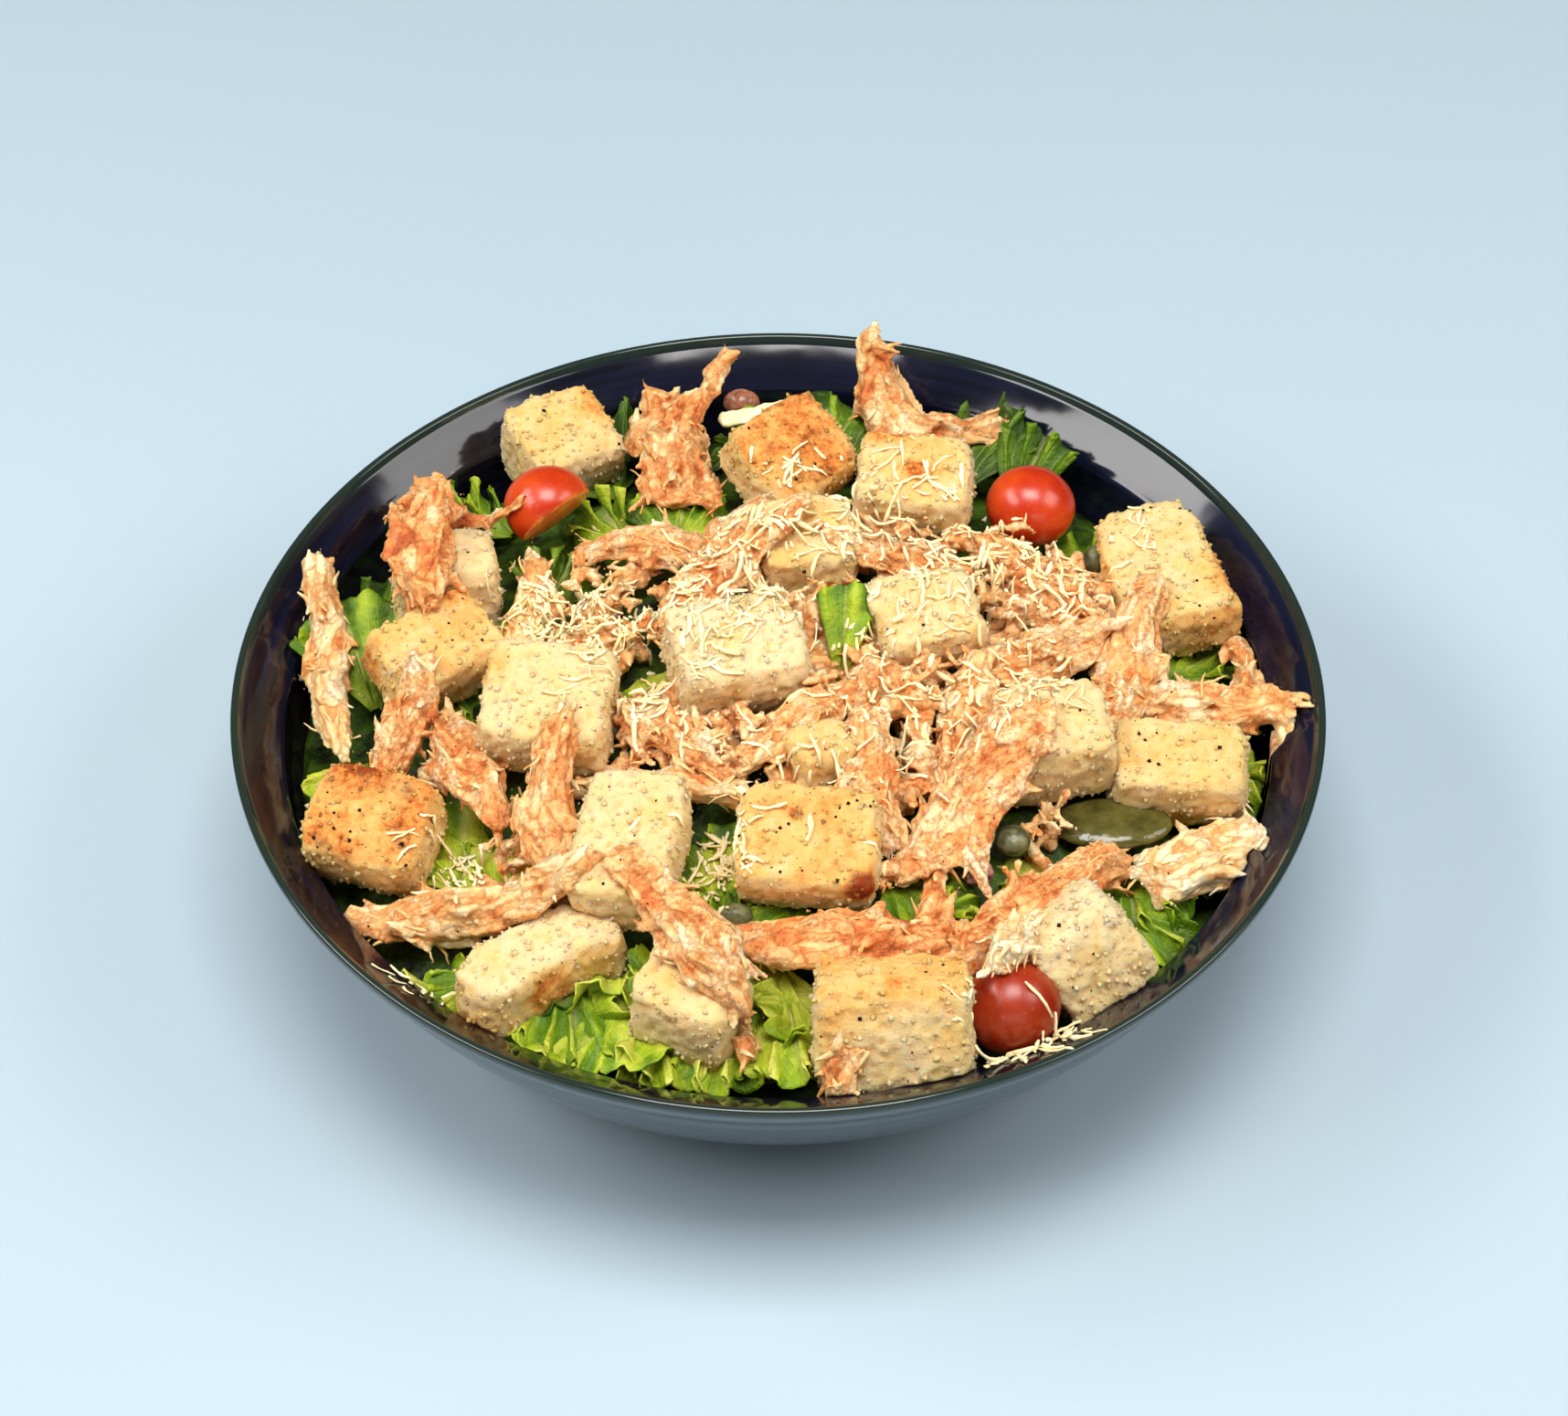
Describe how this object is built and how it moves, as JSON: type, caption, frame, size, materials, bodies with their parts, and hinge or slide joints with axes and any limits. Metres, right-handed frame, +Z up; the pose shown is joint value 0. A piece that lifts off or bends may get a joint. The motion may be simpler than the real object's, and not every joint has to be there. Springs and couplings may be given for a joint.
{
  "type": "chicken caesar salad",
  "caption": "Chicken caesar salad in a wide dark glazed bowl: lettuce heaped under toasted croutons, torn chicken, cherry tomatoes and grated parmesan.",
  "frame": {"origin": "middle of the bowl's foot, on the surface it stands on", "axes": "+Z up along the bowl's turning axis, -Y towards the diner, +X to the diner's right"},
  "size_m": [0.27, 0.27, 0.0946],
  "materials": {
    "glaze": "gloss",
    "toasted_bread": "matte",
    "chicken": "satin",
    "lettuce": "satin",
    "tomato": "gloss",
    "caper": "satin",
    "pickle": "gloss",
    "bean": "gloss",
    "onion": "gloss",
    "parmesan": "satin"
  },
  "bodies": {
    "root": {"bowl": "glaze", "brown_bean": "bean", "caper_back_right": "caper", "caper_front": "caper", "caper_right": "caper", "chicken_back_bits": "chicken", "chicken_back_horn": "chicken", "chicken_back_left": "chicken", "chicken_centre_curl": "chicken", "chicken_centre_diagonal": "chicken", "chicken_centre_strip": "chicken", "chicken_crouton_scrap": "chicken", "chicken_front_diagonal": "chicken", "chicken_front_fork": "chicken", "chicken_front_left": "chicken", "chicken_front_middle": "chicken", "chicken_front_right_heap": "chicken", "chicken_left_brown": "chicken", "chicken_left_fork": "chicken", "chicken_left_lump": "chicken", "chicken_left_rear": "chicken", "chicken_left_tangle": "chicken", "chicken_left_wall": "chicken", "chicken_long_strip": "chicken", "chicken_middle_crumbs": "chicken", "chicken_middle_fork": "chicken", "chicken_right_arch": "chicken", "chicken_right_inner": "chicken", "chicken_right_pale": "chicken", "chicken_right_upper": "chicken", "chicken_upper_bits": "chicken", "chicken_upper_left": "chicken", "chicken_white_end": "chicken", "crouton_back_centre": "toasted_bread", "crouton_back_left": "toasted_bread", "crouton_back_right": "toasted_bread", "crouton_back_toasted": "toasted_bread", "crouton_centre": "toasted_bread", "crouton_centre_right": "toasted_bread", "crouton_corner_wedge": "toasted_bread", "crouton_front_big": "toasted_bread", "crouton_front_crescent": "toasted_bread", "crouton_front_long": "toasted_bread", "crouton_front_peppered": "toasted_bread", "crouton_front_right": "toasted_bread", "crouton_front_small": "toasted_bread", "crouton_left_middle": "toasted_bread", "crouton_left_rear": "toasted_bread", "crouton_left_spiced": "toasted_bread", "crouton_left_toasted": "toasted_bread", "crouton_middle_small": "toasted_bread", "crouton_right": "toasted_bread", "crouton_right_inner": "toasted_bread", "lettuce_heap": "lettuce", "onion_bit": "onion", "parmesan_curl": "parmesan", "pickle_slice": "pickle", "tomato_back_left": "tomato", "tomato_back_right": "tomato", "tomato_front": "tomato"}
  },
  "joints": []
}
